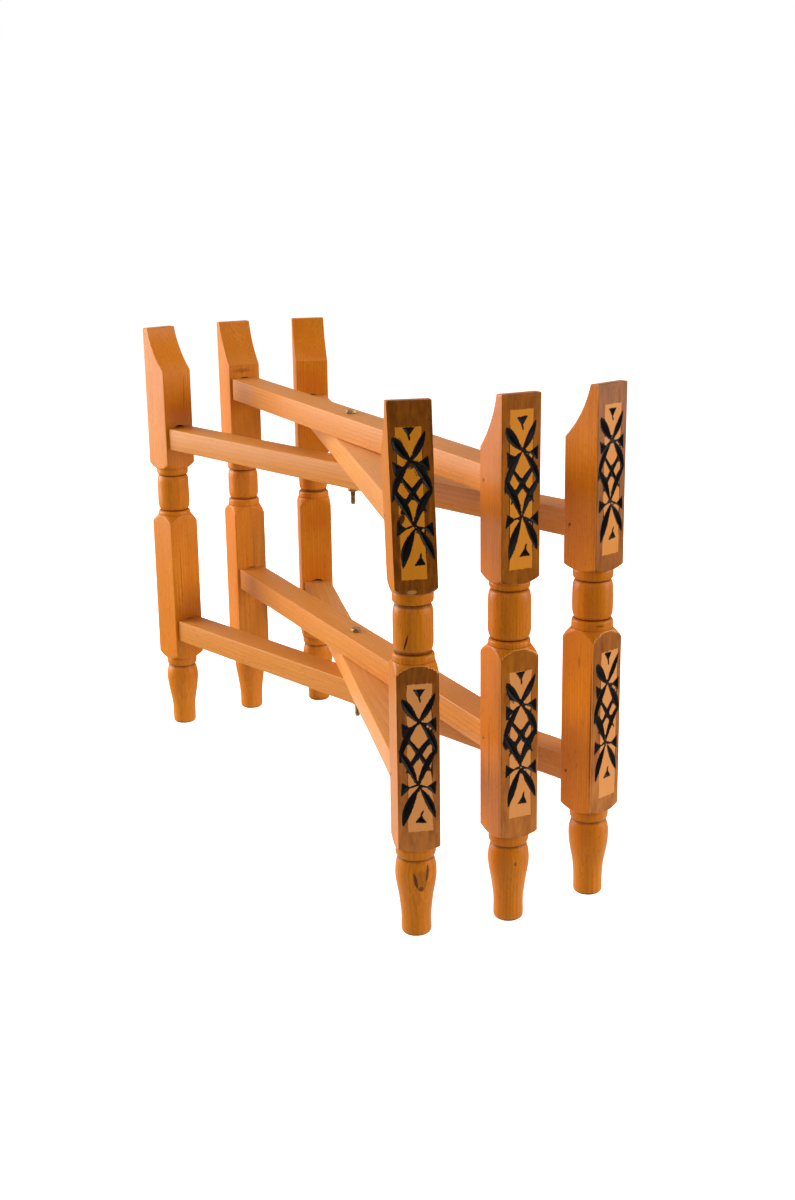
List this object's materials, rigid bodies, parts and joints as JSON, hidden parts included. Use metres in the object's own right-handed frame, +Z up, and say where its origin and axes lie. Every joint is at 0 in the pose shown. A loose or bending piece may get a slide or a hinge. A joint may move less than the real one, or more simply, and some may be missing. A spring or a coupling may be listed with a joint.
{
  "type": "folding tray stand",
  "caption": "Folding wooden stand for a round tray: turned, chip-carved legs joined by rails that cross and swing on upright bolts.",
  "frame": {"origin": "on the floor, on the axis of the pivot bolts", "axes": "+Z up, +X along the rails of the high frame, the one whose rails lie on top of the others"},
  "size_m": [0.74, 0.246, 0.508],
  "materials": {
    "leg_wood": "satin orange-brown varnish over turned wood, with stained borders and black chip carving on the outer faces",
    "rail_wood": "satin varnish over planed wood, a little lighter and pinker than the legs",
    "bolt_steel": "dull aged yellow zinc plating",
    "nail_iron": "dark oxidised wire nail"
  },
  "bodies": {
    "high_frame": {"high_rail_upper": "rail_wood", "high_rail_lower": "rail_wood", "high_leg_right": "leg_wood", "high_nail_upper_right": "nail_iron", "high_nail_lower_right": "nail_iron", "high_leg_left": "leg_wood", "high_nail_upper_left": "nail_iron", "high_nail_lower_left": "nail_iron", "pivot_bolt_upper": "bolt_steel", "pivot_washer_upper": "bolt_steel", "pivot_nut_upper": "bolt_steel", "pivot_bolt_lower": "bolt_steel", "pivot_washer_lower": "bolt_steel", "pivot_nut_lower": "bolt_steel"},
    "mid_frame": {"mid_rail_upper": "rail_wood", "mid_rail_lower": "rail_wood", "mid_leg_right": "leg_wood", "mid_nail_upper_right": "nail_iron", "mid_nail_lower_right": "nail_iron", "mid_leg_left": "leg_wood", "mid_nail_upper_left": "nail_iron", "mid_nail_lower_left": "nail_iron"},
    "low_frame": {"low_rail_upper": "rail_wood", "low_rail_lower": "rail_wood", "low_leg_right": "leg_wood", "low_nail_upper_right": "nail_iron", "low_nail_lower_right": "nail_iron", "low_leg_left": "leg_wood", "low_nail_upper_left": "nail_iron", "low_nail_lower_left": "nail_iron"}
  },
  "joints": [
    {"name": "low_frame_swing", "type": "hinge", "parent": "high_frame", "child": "low_frame", "pos_m": [0, 0, 0.39], "axis": [0, 0, 1], "range_deg": [-9.3, 43.7]},
    {"name": "mid_frame_swing", "type": "hinge", "parent": "high_frame", "child": "mid_frame", "pos_m": [0, 0, 0.39], "axis": [0, 0, -1], "range_deg": [-8.3, 44.7]}
  ]
}
